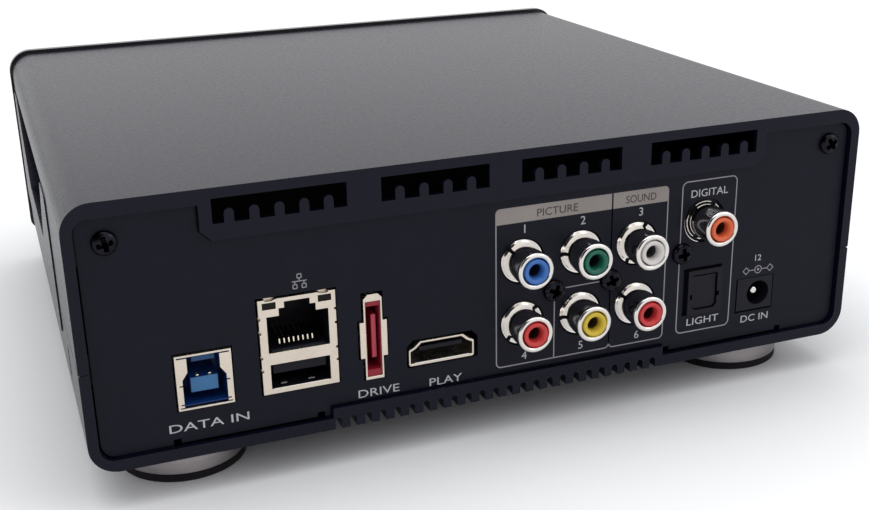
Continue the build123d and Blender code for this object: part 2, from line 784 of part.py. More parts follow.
def phono_insert(place, reach, label):
    """The coloured plastic lining of a sleeve, with a flared bore for the plug's pin."""
    across, up = place
    tip = jack_front + reach + insert_proud
    root = -8.0
    axis_plane = Plane(
        origin=(across, rear_y - jack_front, foot_height + up), x_dir=(1, 0, 0), z_dir=(0, 0, 1)
    )
    with BuildPart() as lining:
        with BuildSketch(axis_plane) as profile:
            rect(insert_bore, sleeve_bore, root + 2, tip)
            chamfer(profile.vertices().group_by(Axis.Y)[-1].sort_by(Axis.X)[0], 0.5)
            chamfer(profile.vertices().group_by(Axis.Y)[-1].sort_by(Axis.X)[-1], 0.15)
            rect(0, sleeve_bore, root, root + 2)
        revolve(axis=Axis((across, rear_y, foot_height + up), (0, 1, 0)))
    save(lining, label + "_insert")


phono_names = ["video_blue", "video_red", "video_green", "video_yellow", "audio_white", "audio_red"]
for jack_place, jack_name in zip(phono_places, phono_names):
    phono_sleeve(jack_place, phono_reach, jack_name)
    phono_insert(jack_place, phono_reach, jack_name)
phono_sleeve(digital_jack, digital_reach, "digital_orange")
phono_insert(digital_jack, digital_reach, "digital_orange")


# ---------------------------------------------------------------- optical port and its sprung shutter
optical_x, optical_up, optical_width, optical_height = optical_port
shutter_half = 3.05
shutter_low = optical_up - 4.1
shutter_top = optical_up + 4.1
shutter_thickness = 0.8
shutter_inset = face + 0.5
hinge_radius = 0.5
optical_depth = 14.0

with BuildPart() as optical_jack:
    with BuildSketch(rear_plane(face)):
        rect_at(optical_port)
    extrude(amount=2.0)
    with BuildSketch(rear_plane(jack_front)):
        rect(optical_x - 5.8, optical_x + 5.8, board_top, optical_up + 6.2)
    extrude(amount=optical_depth - jack_front)
    # the mouth, with its two side keys, and the space that the shutter swings into
    with BuildSketch(rear_plane(face)) as mouth:
        mouth_half = shutter_half + 0.25
        rect(optical_x - mouth_half, optical_x + mouth_half, shutter_low - 0.25, shutter_top + 0.25)
        chamfer(mouth.vertices().group_by(Axis.Y)[0], 0.8)
        rect(optical_x - 3.9, optical_x + 3.9, optical_up - 1.6, optical_up - 0.4)
    extrude(amount=10.5, mode=Mode.SUBTRACT)
    # the hinge pin's sockets
    hinge_up = shutter_top - 0.6
    hinge_inset = shutter_inset + shutter_thickness / 2
    with BuildSketch(side_plane(optical_x - 4.0)):
        with Locations((-hinge_inset, hinge_up)):
            Circle(hinge_radius + 0.05)
    extrude(amount=8.0, mode=Mode.SUBTRACT)
save(optical_jack, "optical_jack")

with BuildPart() as optical_shutter:
    with BuildSketch(rear_plane(shutter_inset)) as flap:
        rect(optical_x - shutter_half, optical_x + shutter_half, shutter_low, hinge_up)
        chamfer(flap.vertices().group_by(Axis.Y)[0], 0.7)
    extrude(amount=shutter_thickness)
    with BuildSketch(side_plane(optical_x - 3.9)):
        with Locations((-hinge_inset, hinge_up)):
            Circle(hinge_radius)
    extrude(amount=7.8)
save(optical_shutter, "optical_shutter")


# ---------------------------------------------------------------- power jack
power_x, power_up, power_width, power_height = power_port
power_face = 1.1  # depth of its face behind the rear rim
power_bore = 3.0
power_bore_depth = 10.0
power_axis = (power_x - 0.9, power_up)
power_pin_inset = 2.6

with BuildPart() as power_jack:
    with BuildSketch(rear_plane(power_face)):
        rect_at(power_port)
    extrude(amount=jack_front - power_face)
    with BuildSketch(rear_plane(jack_front)):
        rect(power_x - 4.9, power_x + 4.9, board_top, power_up + 5.0)
    extrude(amount=12.0)
    rod(rear_plane(power_face), [power_axis], power_bore, power_bore_depth, Mode.SUBTRACT)
save(power_jack, "power_jack")

with BuildPart() as power_jack_pin:
    rod(rear_plane(power_pin_inset), [power_axis], 1.0, power_face + power_bore_depth - power_pin_inset)
    fillet(power_jack_pin.faces().sort_by(Axis.Y)[-1].edges(), 0.5)
save(power_jack_pin, "power_jack_pin")


# ---------------------------------------------------------------- feet
cup_wall = 1.2


def foot_plane(place):
    """Upright plane through a foot's axis, with x from the axis and y from the ground."""
    across, depth = place
    return Plane(origin=(across, rear_y + depth, 0), x_dir=(1, 0, 0), z_dir=(0, -1, 0))


def foot_cup(place, label):
    """A turned metal cup, open below for the rubber, with a boss that the screw's head bears on."""
    across, depth = place
    with BuildPart() as cup:
        with BuildSketch(foot_plane(place)) as profile:
            rect(pilot_radius + 0.4, foot_radius, foot_pad_show, foot_height)
            chamfer(profile.vertices().sort_by(Axis.X)[-2:], 0.15)
            rect(4.0, foot_radius - cup_wall, foot_pad_show, foot_height - cup_wall, Mode.SUBTRACT)
            rect(0, 4.1, foot_pad_show, foot_pad_show + 2.4, Mode.SUBTRACT)
        revolve(axis=Axis((across, rear_y + depth, 0), (0, 0, 1)))
    save(cup, label)


def foot_pad(place, label):
    """The rubber ring pressed into the cup."""
    across, depth = place
    with BuildPart() as pad:
        with BuildSketch(foot_plane(place)) as profile:
            rect(4.1, foot_radius - 0.05, 0, foot_pad_show)
            chamfer(profile.vertices().sort_by(Axis.X)[-2:], 0.15)
            rect(4.1, foot_radius - cup_wall, foot_pad_show, foot_pad_show + 2.4)
        revolve(axis=Axis((across, rear_y + depth, 0), (0, 0, 1)))
    save(pad, label)


foot_names = ["rear_left", "front_left", "rear_right", "front_right"]
for foot_place, foot_name in zip(feet_at, foot_names):
    foot_cup(foot_place, "foot_cup_" + foot_name)
    foot_pad(foot_place, "foot_pad_" + foot_name)


# ---------------------------------------------------------------- screws
def pan_head_screws(plane, side, points, head_radius, head_height, length):
    """Pan-head screws, in the current part: heads along the plane's normal if side is 1, against if -1."""
    half = side * head_height / 2
    rod(plane, points, head_radius, half)
    with BuildSketch(plane.offset(half)) as crown:
        with Locations(*points):
            Circle(head_radius)
    extrude(crown.sketch, amount=half, taper=35)
    rod(plane, points, pilot_radius - 0.05, -side * length)


with BuildPart() as rear_screws:
    pan_head_screws(rear_plane(rim_thickness), -1, panel_screws_at + jack_screws_at, 2.75, 1.7, 6.5)
save(rear_screws, "rear_screws")


# ---------------------------------------------------------------- drive bay
bay_end = -67.0
bay_mouth = 86.0
bay_outer_rear = drive_middle + drive_width / 2 + 5.4
bay_outer_front = drive_middle - drive_width / 2 - 5.4
bay_low = 14.0
bay_high = 47.6
lip_width = 5.0
tab_width = 12.0

with BuildPart() as drive_bay:
    # one folded sheet: top, two walls and the lips that the tray slides on
    with BuildSketch(side_plane(bay_end)):
        front = bay_outer_front
        rear = bay_outer_rear
        rect(front, rear, bay_low, bay_high)
        rect(front + sheet, rear - sheet, bay_low + sheet, bay_high - sheet, Mode.SUBTRACT)
        rect(front + lip_width, rear - lip_width, bay_low, bay_low + sheet, Mode.SUBTRACT)
    extrude(amount=bay_mouth - bay_end)
    # the top is open between its two end straps
    with BuildSketch(level(bay_high - 2 * sheet)) as window:
        rect(bay_end + 16, bay_mouth - 16, bay_outer_front + 12, bay_outer_rear - 12)
        fillet(window.vertices(), 4)
    extrude(amount=4 * sheet, mode=Mode.SUBTRACT)
    # in-turned flanges that carry the backplane
    for inner, outer in ((bay_outer_front, bay_outer_front + 9), (bay_outer_rear - 9, bay_outer_rear)):
        bar(side_plane(bay_end), inner, outer, bay_low, bay_high, sheet)
    # legs and feet: the rear pair on the board, the front pair on the floor
    for across, _ in bay_floor_screws_at:
        left = across - tab_width / 2
        right = across + tab_width / 2
        bar(rear_plane(-bay_outer_rear), left, right, board_top, bay_low + sheet, sheet)
        bar(level(board_top), left, right, bay_outer_rear - sheet, bay_outer_rear + 6.5, sheet)
        bar(rear_plane(-bay_outer_front - sheet), left, right, wall + 3, bay_low + sheet, sheet)
        bar(level(wall + 3), left, right, bay_outer_front, bay_outer_front + 8, sheet)
    holes_at = bay_floor_screws_at + board_screws_at[4:]
    rod(level(wall), holes_at, board_hole, bay_low - wall - 1, Mode.SUBTRACT)
save(drive_bay, "drive_bay")


backplane_face = bay_end + sheet + board_thickness

with BuildPart() as backplane_board:
    front = bay_outer_front + 1.5
    rear = bay_outer_rear - 1.5
    bar(side_plane(bay_end + sheet), front, rear, 16.4, 45.8, board_thickness)
save(backplane_board, "backplane_board")

connector_middle = drive_middle + 14.0

with BuildPart() as drive_connector:
    with BuildSketch(side_plane(backplane_face)) as body:
        rect(connector_middle - 21, connector_middle + 21, 18.6, 24.4)
        chamfer(body.vertices().group_by(Axis.Y)[0], 1.0)
    extrude(amount=6.4)
    # the two keyed slots, signal and power
    with BuildSketch(side_plane(backplane_face + 6.4)):
        rect(connector_middle - 19, connector_middle - 7.5, 20.4, 22.6)
        rect(connector_middle - 5.5, connector_middle + 18, 20.4, 22.6)
    extrude(amount=-5.0, mode=Mode.SUBTRACT)
save(drive_connector, "drive_connector")


# ---------------------------------------------------------------- drive tray
tray_half = drive_width / 2 + 1.6
tray_floor = bay_low + sheet + 0.1
tray_wall_top = 38.0
tray_back = -57.0
door_inner = half_width - tray_door_thickness
tray_runner = 2.2
tray_screws_at = [(-140.0, 20.0), (drive_middle, 20.0), (-57.0, 20.0)]
hole_row = 95.25
hole_step = 44.45
hole_middle = 8.0
slot_rows = 5

with BuildPart() as tray_carrier:
    # one folded sheet: floor, two walls and the runners turned out along their tops
    with BuildSketch(side_plane(tray_back)):
        rect(drive_middle - tray_half, drive_middle + tray_half, tray_floor, tray_wall_top)
        for side in (-1, 1):
            edge = drive_middle + side * tray_half
            rect(edge, edge + side * tray_runner, tray_wall_top - sheet, tray_wall_top)
        inner = tray_half - sheet
        rect(drive_middle - inner, drive_middle + inner, tray_floor + sheet, tray_wall_top, Mode.SUBTRACT)
    extrude(amount=door_inner - tray_back)
    # the front flange that the door is screwed to
    front = drive_middle - tray_half
    rear = drive_middle + tray_half
    bar(side_plane(door_inner), front, rear, tray_floor, grip_low - 1, -sheet)
    # four drive screw holes and a vented floor
    with BuildSketch(level(tray_floor)):
        with Locations((hole_middle, drive_middle)):
            with GridLocations(hole_step, hole_row, 2, 2):
                Circle(1.9)
            with GridLocations(0, 14, 1, slot_rows):
                SlotOverall(96, 7)
    extrude(amount=sheet, mode=Mode.SUBTRACT)
    with BuildSketch(side_plane(door_inner)):
        with Locations(*tray_screws_at):
            Circle(1.3)
    extrude(amount=-sheet, mode=Mode.SUBTRACT)
save(tray_carrier, "tray_carrier")


with BuildPart() as tray_face:
    with BuildSketch(side_plane(door_inner)) as outline:
        rect(tray_door_front, tray_door_rear, tray_door_low, tray_door_top)
        fillet(outline.vertices(), 2.3)
    extrude(amount=tray_door_thickness + tray_proud)
    # the grip: a flared opening from the top edge, which also lets air to the drive
    door_middle = (tray_door_front + tray_door_rear) / 2
    with BuildSketch(side_plane(door_inner)) as grip:
        with BuildLine():
            Polyline(
                (door_middle - grip_bottom_width / 2, grip_low),
                (door_middle + grip_bottom_width / 2, grip_low),
                (door_middle + grip_top_width / 2, tray_door_top + 0.1),
                (door_middle - grip_top_width / 2, tray_door_top + 0.1),
                close=True,
            )
        make_face()
        fillet(grip.vertices().group_by(Axis.Y)[0], 6.0)
    extrude(amount=tray_door_thickness + tray_proud, mode=Mode.SUBTRACT)
    with BuildSketch(side_plane(door_inner)):
        with Locations(*tray_screws_at):
            Circle(0.9)
    extrude(amount=2.0, mode=Mode.SUBTRACT)
save(tray_face, "tray_face")

with BuildPart() as tray_screws:
    with BuildSketch(side_plane(door_inner - sheet)):
        with Locations(*tray_screws_at):
            Circle(2.2)
    extrude(amount=-1.2, taper=20)
    with BuildSketch(side_plane(door_inner - sheet)):
        with Locations(*tray_screws_at):
            Circle(0.9)
    extrude(amount=sheet + 1.9)
save(tray_screws, "tray_screws")


# ---------------------------------------------------------------- screws inside and below
with BuildPart() as board_screws:
    pan_head_screws(level(board_top), 1, board_screws_at[:4], 2.4, 1.5, 6.0)
    pan_head_screws(level(board_top + sheet), 1, board_screws_at[4:], 2.4, 1.5, 6.0)
    pan_head_screws(level(wall + 3 + sheet), 1, bay_floor_screws_at, 2.4, 1.5, 4.0)
    pan_head_screws(rear_plane(front_board_back), -1, front_boss_at, 2.2, 1.3, 5.0)
save(board_screws, "board_screws")

foot_boss_low = foot_pad_show + 2.4

with BuildPart() as foot_screws:
    pan_head_screws(level(foot_boss_low - foot_height), -1, feet_at, 2.5, 1.6, 8.5)
save(foot_screws, "foot_screws")
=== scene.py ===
import bpy
import bmesh
import math
from mathutils import Matrix, Vector


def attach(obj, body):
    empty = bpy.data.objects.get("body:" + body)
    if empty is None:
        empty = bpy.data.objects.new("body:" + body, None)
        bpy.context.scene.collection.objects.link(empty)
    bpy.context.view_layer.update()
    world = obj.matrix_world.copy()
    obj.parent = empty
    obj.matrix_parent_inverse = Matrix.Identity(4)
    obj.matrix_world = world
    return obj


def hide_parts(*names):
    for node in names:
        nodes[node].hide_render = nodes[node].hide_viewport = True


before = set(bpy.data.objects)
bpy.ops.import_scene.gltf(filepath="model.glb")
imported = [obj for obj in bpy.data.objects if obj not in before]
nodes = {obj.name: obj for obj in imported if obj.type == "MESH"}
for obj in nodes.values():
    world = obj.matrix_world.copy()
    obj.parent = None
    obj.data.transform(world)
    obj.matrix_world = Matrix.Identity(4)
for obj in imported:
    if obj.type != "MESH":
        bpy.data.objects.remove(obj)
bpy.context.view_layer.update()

# Home media player seen from behind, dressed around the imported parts.
# Places on the case are in millimetres: x across (+ is on the left seen from behind),
# inset into the case from the rear rim, up from the underside of the case.
case = {"rearRim": 80.15, "underside": 8.8, "panelInset": 1.2}


def spot(x, inset, up):
    return Vector((x, case["rearRim"] - inset, case["underside"] + up)) * 0.001


def newMaterial(name):
    mat = bpy.data.materials.new(name)
    mat.use_nodes = True
    tree = mat.node_tree
    return mat, tree, tree.nodes["Principled BSDF"]


def objectCoords(tree):
    return tree.nodes.new("ShaderNodeTexCoord").outputs["Object"]


def noise(tree, scale, detail=3.0, rough=0.5, stretch=None):
    node = tree.nodes.new("ShaderNodeTexNoise")
    node.inputs["Scale"].default_value = scale
    node.inputs["Detail"].default_value = detail
    node.inputs["Roughness"].default_value = rough
    coords = objectCoords(tree)
    if stretch:
        mapping = tree.nodes.new("ShaderNodeMapping")
        mapping.inputs["Scale"].default_value = stretch
        tree.links.new(coords, mapping.inputs["Vector"])
        coords = mapping.outputs["Vector"]
    tree.links.new(coords, node.inputs["Vector"])
    return node.outputs["Fac"]


def ramp(tree, source, low, high, start=0.3, end=0.7):
    node = tree.nodes.new("ShaderNodeValToRGB")
    node.color_ramp.elements[0].position = start
    node.color_ramp.elements[1].position = end
    node.color_ramp.elements[0].color = (*low, 1)
    node.color_ramp.elements[1].color = (*high, 1)
    tree.links.new(source, node.inputs["Fac"])
    return node.outputs["Color"]


def spread(tree, source, low, high):
    node = tree.nodes.new("ShaderNodeMapRange")
    node.inputs["From Min"].default_value = 0.3
    node.inputs["From Max"].default_value = 0.7
    node.inputs["To Min"].default_value = low
    node.inputs["To Max"].default_value = high
    tree.links.new(source, node.inputs["Value"])
    return node.outputs["Result"]


def bump(tree, shader, height, strength, distance):
    node = tree.nodes.new("ShaderNodeBump")
    node.inputs["Strength"].default_value = strength
    node.inputs["Distance"].default_value = distance
    tree.links.new(height, node.inputs["Height"])
    tree.links.new(node.outputs["Normal"], shader.inputs["Normal"])


# moulded plastic: fine grain, faint clouds in its colour and gloss
def plastic(name, colour, roughness=0.4, specular=0.5, grain=2500, depth=0.00002, wear=0.12, cloud=60):
    mat, tree, shader = newMaterial(name)
    low = tuple(c * (1 - wear) for c in colour)
    high = tuple(min(1, c * (1 + wear)) for c in colour)
    tree.links.new(ramp(tree, noise(tree, cloud, 4), low, high), shader.inputs["Base Color"])
    gloss = spread(tree, noise(tree, cloud * 2.3, 5), roughness * 0.88, roughness * 1.12)
    tree.links.new(gloss, shader.inputs["Roughness"])
    shader.inputs["Specular IOR Level"].default_value = specular
    bump(tree, shader, noise(tree, grain, 2), 0.35, depth)
    return mat


# sheet or plated metal, with its grain drawn out along one axis
def metal(name, colour, roughness=0.2, grain=(1, 1, 1), scale=900, depth=0.000006, wear=0.1):
    mat, tree, shader = newMaterial(name)
    low = tuple(c * (1 - wear) for c in colour)
    tree.links.new(ramp(tree, noise(tree, 220, 4), low, colour), shader.inputs["Base Color"])
    shader.inputs["Metallic"].default_value = 1.0
    gloss = spread(tree, noise(tree, 400, 4, 0.6, grain), roughness * 0.7, roughness * 1.3)
    tree.links.new(gloss, shader.inputs["Roughness"])
    bump(tree, shader, noise(tree, scale, 3, 0.6, grain), 0.4, depth)
    return mat


# dark polished moulding with faint clouds in its gloss
def glassy(name, colour, roughness=0.08, specular=0.6):
    mat, tree, shader = newMaterial(name)
    low = tuple(c * 0.85 for c in colour)
    tree.links.new(ramp(tree, noise(tree, 90, 4), low, colour), shader.inputs["Base Color"])
    gloss = spread(tree, noise(tree, 180, 5), roughness * 0.6, roughness * 1.6)
    tree.links.new(gloss, shader.inputs["Roughness"])
    shader.inputs["Specular IOR Level"].default_value = specular
    bump(tree, shader, noise(tree, 500, 2), 0.15, 0.00001)
    return mat


# turned metal, whose fine rings are bands of height
def turned(name, colour, roughness, ringScale):
    mat, tree, shader = newMaterial(name)
    low = tuple(c * 0.86 for c in colour)
    bands = noise(tree, ringScale, 2, 0.5, (0.02, 0.02, 1))
    tree.links.new(ramp(tree, bands, low, colour), shader.inputs["Base Color"])
    shader.inputs["Metallic"].default_value = 1.0
    gloss = spread(tree, noise(tree, 300, 4), roughness * 0.85, roughness * 1.2)
    tree.links.new(gloss, shader.inputs["Roughness"])
    bump(tree, shader, bands, 0.3, 0.00002)
    return mat


finish = {
    "shell": plastic("shellPaint", (0.003, 0.0035, 0.012), 0.27, 0.2, 3200, 0.000006, 0.06, 420),
    "panel": plastic("panelPaint", (0.0075, 0.008, 0.0155), 0.45, 0.14, 2200, 0.000014, 0.08, 300),
    "bezel": glassy("bezelGloss", (0.006, 0.006, 0.008), 0.14, 0.45),
    "window": glassy("windowSmoke", (0.006, 0.006, 0.008), 0.05),
    "display": glassy("displayGlass", (0.01, 0.014, 0.016), 0.1),
    "board": plastic("boardGreen", (0.015, 0.1, 0.04), 0.45, 0.5, 1500, 0.00002, 0.2),
    "chip": plastic("chipResin", (0.02, 0.02, 0.022), 0.5, 0.4),
    "sink": metal("sinkAluminium", (0.78, 0.79, 0.8), 0.35, (1, 12, 1)),
    "can": plastic("canSleeve", (0.02, 0.03, 0.08), 0.25, 0.5, 900, 0.00001),
    "tin": metal("portTin", (0.86, 0.77, 0.65), 0.3, (1, 1, 6), 700, 0.000006, 0.08),
    "nickel": metal("jackNickel", (0.9, 0.87, 0.83), 0.12, (1, 4, 1), 500, 0.0000012, 0.04),
    "gold": metal("contactGold", (0.95, 0.68, 0.3), 0.22),
    "brightGold": metal("contactPale", (0.95, 0.86, 0.68), 0.2),
    "dullSteel": metal("springSteel", (0.2, 0.19, 0.18), 0.3),
    # near-white metal for real flared lips of the tin shells, paler than the tin as a painted highlight
    "lipHighlight": metal("lipSteelPaintedHighlight", (0.98, 0.95, 0.9), 0.18),
    "lampDark": plastic("lampSmoke", (0.012, 0.009, 0.008), 0.35, 0.15, 1500, 0.000004, 0.1),
    # a lighter copy of the black moulding: painted light on the lit front of the network socket's floor
    "litSill": plastic("sillMouldingPaintedLight", (0.022, 0.024, 0.032), 0.5, 0.2, 2500, 0.00001, 0.1, 200),
    "moulding": plastic("blackMoulding", (0.007, 0.0075, 0.0125), 0.38, 0.2, 2500, 0.000014, 0.1, 200),
    # near black, only for the painted shadow line along the panel's groove
    "seamShadowPaint": plastic("paintedSeamShadow", (0.004, 0.003, 0.004), 0.7, 0.1),
    "blue": plastic("socketBlue", (0.005, 0.035, 0.16), 0.3, 0.4),
    # lighter copies of the socket blue: painted light on the lit faces of the data socket's tongue
    "skyBlue": plastic("tongueBlue", (0.05, 0.17, 0.36), 0.4, 0.3),
    "midBlue": plastic("tongueBlueHigh", (0.025, 0.075, 0.19), 0.45, 0.3),
    "red": plastic("socketRed", (0.3, 0.012, 0.03), 0.35, 0.4),
    # a lighter copy of the socket red: painted light on the lit front of the drive socket's tongue
    "paintedLitRed": plastic("tongueRed", (0.5, 0.06, 0.09), 0.35, 0.4),
    "screw": metal("screwBlack", (0.02, 0.02, 0.026), 0.24, (1, 1, 1), 800, 0.000008, 0.3),
    "zinc": metal("screwZinc", (0.68, 0.67, 0.64), 0.28),
    "sheet": plastic("bayPaint", (0.012, 0.012, 0.015), 0.4, 0.35, 2200, 0.000012, 0.1, 300),
    "cup": turned("footMetal", (0.42, 0.39, 0.395), 0.36, 2400),
    "rubber": plastic("footRubber", (0.012, 0.01, 0.012), 0.8, 0.15, 1400, 0.00003),
    "word": plastic("printWords", (0.5, 0.5, 0.52), 0.6, 0.1, 3000, 0.000004, 0.08),
    "rule": plastic("printLines", (0.33, 0.32, 0.34), 0.6, 0.1, 3000, 0.000004, 0.08),
    "header": plastic("printHeader", (0.31, 0.28, 0.265), 0.6, 0.1, 3000, 0.000004, 0.06),
    "headerWord": plastic("printDark", (0.09, 0.06, 0.062), 0.6, 0.1, 3000, 0.000004, 0.06),
}
insertColours = {
    "video_blue": (0.05, 0.17, 0.5),
    "video_green": (0.012, 0.13, 0.085),
    "audio_white": (0.72, 0.69, 0.67),
    "video_red": (0.62, 0.05, 0.05),
    "video_yellow": (0.68, 0.5, 0.05),
    "audio_red": (0.62, 0.045, 0.05),
    "digital_orange": (0.75, 0.14, 0.05),
}

nodeFinish = {
    "shell": ["top_shell", "bottom_shell", "tray_face"],
    "panel": ["rear_panel"],
    "bezel": ["front_bezel", "power_button"],
    "window": ["display_window"],
    "display": ["display_module"],
    "board": ["front_board", "main_board", "backplane_board"],
    "chip": ["processor", "memory_chips", "power_switch"],
    "sink": ["heat_sink"],
    "can": ["capacitors"],
    "tin": ["data_port_shell", "network_port_shell", "drive_port_shell", "av_port_shell"],
    "blue": ["data_port_core"],
    "red": ["drive_port_core"],
    "moulding": ["network_port_core", "av_port_core", "jack_block", "digital_jack_housing", "optical_jack",
                 "optical_shutter", "power_jack", "drive_connector"],
    "nickel": ["power_jack_pin"] + [jack + "_sleeve" for jack in insertColours],
    "screw": ["rear_screws"],
    "zinc": ["board_screws", "foot_screws", "tray_screws"],
    "sheet": ["drive_bay", "tray_carrier"],
    "cup": [name for name in nodes if name.startswith("foot_cup")],
    "rubber": [name for name in nodes if name.startswith("foot_pad")],
}
for key, names in nodeFinish.items():
    for name in names:
        nodes[name].data.materials.clear()
        nodes[name].data.materials.append(finish[key])
for jack, colour in insertColours.items():
    finish[jack] = plastic(jack + "Lining", colour, 0.26, 0.4, 1500, 0.000004, 0.04)
    nodes[jack + "_insert"].data.materials.clear()
    nodes[jack + "_insert"].data.materials.append(finish[jack])
print("finishes set on the packed parts")


# turns a bmesh, already in place, into a piece that rides on a body
def newPiece(name, bm, material, body="case", smooth=35):
    sharp = math.radians(smooth)
    for face in bm.faces:
        face.smooth = True
    for edge in bm.edges:
        if len(edge.link_faces) != 2 or edge.calc_face_angle(0) > sharp:
            edge.smooth = False
    mesh = bpy.data.meshes.new(name)
    bm.to_mesh(mesh)
    bm.free()
    piece = bpy.data.objects.new(name, mesh)
    bpy.context.scene.collection.objects.link(piece)
    mesh.materials.append(material)
    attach(piece, body)
    return piece


# a block between two corners in metres, its edges eased
def addBlock(bm, low, high, bevelWidth=0.0):
    made = bmesh.ops.create_cube(bm, size=1.0)["verts"]
    centre = (low + high) / 2
    size = high - low
    bmesh.ops.scale(bm, vec=tuple(abs(s) for s in size), verts=made)
    bmesh.ops.translate(bm, vec=centre, verts=made)
    if bevelWidth:
        edges = list({e for v in made for e in v.link_edges})
        bmesh.ops.bevel(bm, geom=edges, offset=bevelWidth * 0.001, segments=2, profile=0.5,
                        affect="EDGES", material=-1)


# spins a profile of (radius, distance along the axis) in millimetres about an axis
def addLathe(bm, centre, profile, axis=(0, 1, 0), steps=64, start=0.0, sweep=None, closed=False):
    axis = Vector(axis)
    side = Vector((0, 0, 1)) if abs(axis.z) < 0.5 else Vector((1, 0, 0))
    side = Matrix.Rotation(start, 3, axis) @ side
    ring = [bm.verts.new(centre + (side * r + axis * d) * 0.001) for r, d in profile]
    edges = [bm.edges.new((a, b)) for a, b in zip(ring, ring[1:])]
    geometry = ring + edges
    if closed:
        edges.append(bm.edges.new((ring[-1], ring[0])))
        geometry = ring + edges + [bm.faces.new(ring)]
    full = sweep is None
    bmesh.ops.spin(bm, geom=geometry, cent=centre, axis=axis, angle=math.tau if full else sweep,
                   steps=steps, use_merge=full)
    bmesh.ops.remove_doubles(bm, verts=bm.verts, dist=1e-7)
    bmesh.ops.recalc_face_normals(bm, faces=bm.faces)


# profile points round an arc, for a rolled lip
def arc(centreR, centreD, radius, startDeg, endDeg, count=8):
    points = []
    for step in range(count + 1):
        turn = math.radians(startDeg + (endDeg - startDeg) * step / count)
        points.append((centreR + radius * math.cos(turn), centreD + radius * math.sin(turn)))
    return points


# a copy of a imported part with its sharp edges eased, shown in the part's place
def eased(name, material, body="case", width=0.2, segments=2, angle=32):
    bm = bmesh.new()
    bm.from_mesh(nodes[name].data)
    bmesh.ops.remove_doubles(bm, verts=bm.verts, dist=1e-6)
    bmesh.ops.dissolve_limit(bm, angle_limit=math.radians(0.6), verts=bm.verts, edges=bm.edges)
    piece = newPiece(name + ".eased", bm, material, body, angle)
    bevel = piece.modifiers.new("Ease", "BEVEL")
    bevel.width = width * 0.001
    bevel.segments = segments
    bevel.limit_method = "ANGLE"
    bevel.angle_limit = math.radians(angle)
    bevel.harden_normals = True
    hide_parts(name)
    return piece


easedParts = [
    ("top_shell", "shell", "case_black", "case", 0.3),
    ("bottom_shell", "shell", "case_black", "case", 0.25),
    ("tray_face", "shell", "case_black", "tray", 0.2),
    ("rear_panel", "panel", "panel_black", "case", 0.12),
    ("front_bezel", "bezel", "front_black", "case", 0.25),
    ("data_port_shell", "tin", "port_steel", "case", 0.12),
    ("network_port_shell", "tin", "port_steel", "case", 0.12),
    ("drive_port_shell", "tin", "port_steel", "case", 0.1),
    ("av_port_shell", "tin", "port_steel", "case", 0.1),
    ("optical_jack", "moulding", "port_black", "case", 0.12),
    ("power_jack", "moulding", "port_black", "case", 0.15),
]
for name, key, slot, body, width in easedParts:
    eased(name, finish[key], body, width)
print("edges eased on", len(easedParts), "parts")


# where each jack stands, and the clock hours of the two slits in its flange
jacks = {
    "video_blue": {"at": (-4.4, 30.95), "slits": (10.5, 4.5)},
    "video_green": {"at": (-18.6, 30.95), "slits": (9.0, 3.0)},
    "audio_white": {"at": (-32.55, 30.95), "slits": (12.9, 7.0)},
    "video_red": {"at": (-4.4, 16.4), "slits": (13.5, 7.5)},
    "video_yellow": {"at": (-18.6, 16.4), "slits": (8.8, 2.8)},
    "audio_red": {"at": (-32.55, 16.4), "slits": (10.2, 4.2)},
}
jackSize = {"barrel": 4.05, "lip": 4.15, "bore": 2.95, "reach": 6.1, "root": -2.3, "flange": 4.95,
            "flangeHigh": -1.3, "flangeLow": -1.45, "slitDegrees": 13.0}
liningSize = {"proud": 0.22, "outer": 2.72, "crest": 2.4, "hole": 1.5, "flare": 1.5, "throat": 0.4,
              "depth": 7.0}


# plain barrel with a rolled lip and an open inside
def addSleeve(bm, centre, size, reach):
    roll = (size["lip"] - size["bore"]) / 2
    lip = arc(size["bore"] + roll, reach - roll, roll, 0, 180, 12)
    profile = [(size["barrel"], size["root"]), (size["barrel"], reach - 2 * roll)] + lip
    profile += [(size["bore"], reach - 1.5)]
    addLathe(bm, centre, profile)


# seen from behind, clock hours run from +Z towards -X, which is a turn about -Y
def hourAngle(hour):
    return -math.radians(hour * 30.0)


# part of a ring between two clock hours, from a closed profile
def addRingPart(bm, centre, profile, fromHour, toHour, steps=28):
    span = math.radians(((toHour - fromHour) * 30.0) % 360.0)
    addLathe(bm, centre, profile, start=hourAngle(fromHour), sweep=-span, steps=steps, closed=True)


def addFlange(bm, centre, size, slits):
    inner = size["barrel"]
    outer = size["flange"]
    high = size["flangeHigh"]
    profile = [(inner - 0.05, size["root"]), (outer, size["root"]), (outer, high - 0.1), (outer - 0.1, high),
               (outer - 0.3, high), (outer - 0.5, high - 0.1), (inner + 0.15, size["flangeLow"]),
               (inner - 0.05, size["flangeLow"])]
    gap = size["slitDegrees"] / 60
    for first, second in ((slits[0], slits[1]), (slits[1], slits[0])):
        addRingPart(bm, centre, profile, first + gap, second - gap)


# the coloured lining: a crowned ring round a flare that runs into the hole
def addLining(bm, centre, size, reach):
    top = reach + size["proud"]
    crest = size["crest"] - 0.05
    profile = [(size["outer"], top - 2.0), (size["outer"], top - 0.2), (size["outer"] - 0.1, top - 0.05),
               (size["crest"] + 0.05, top), (crest, top)]
    wide = crest - size["hole"]
    for turn in range(15, 91, 15):
        away = math.radians(turn)
        profile.append((crest - wide * math.sin(away), top - size["flare"] * (1 - math.cos(away))))
    profile.append((size["hole"], top - size["flare"] - size["throat"]))
    addLathe(bm, centre, profile, steps=48)


# the hole behind the flare, closed at its end; newJack gives it painted shade
def addHole(bm, centre, size, reach):
    top = reach + size["proud"] - size["flare"] - size["throat"]
    wide = size["hole"]
    end = top - size["depth"]
    profile = [(wide, top), (wide - 0.08, top - 0.1), (wide - 0.08, end), (0.0, end - 0.2)]
    addLathe(bm, centre, profile, steps=32)
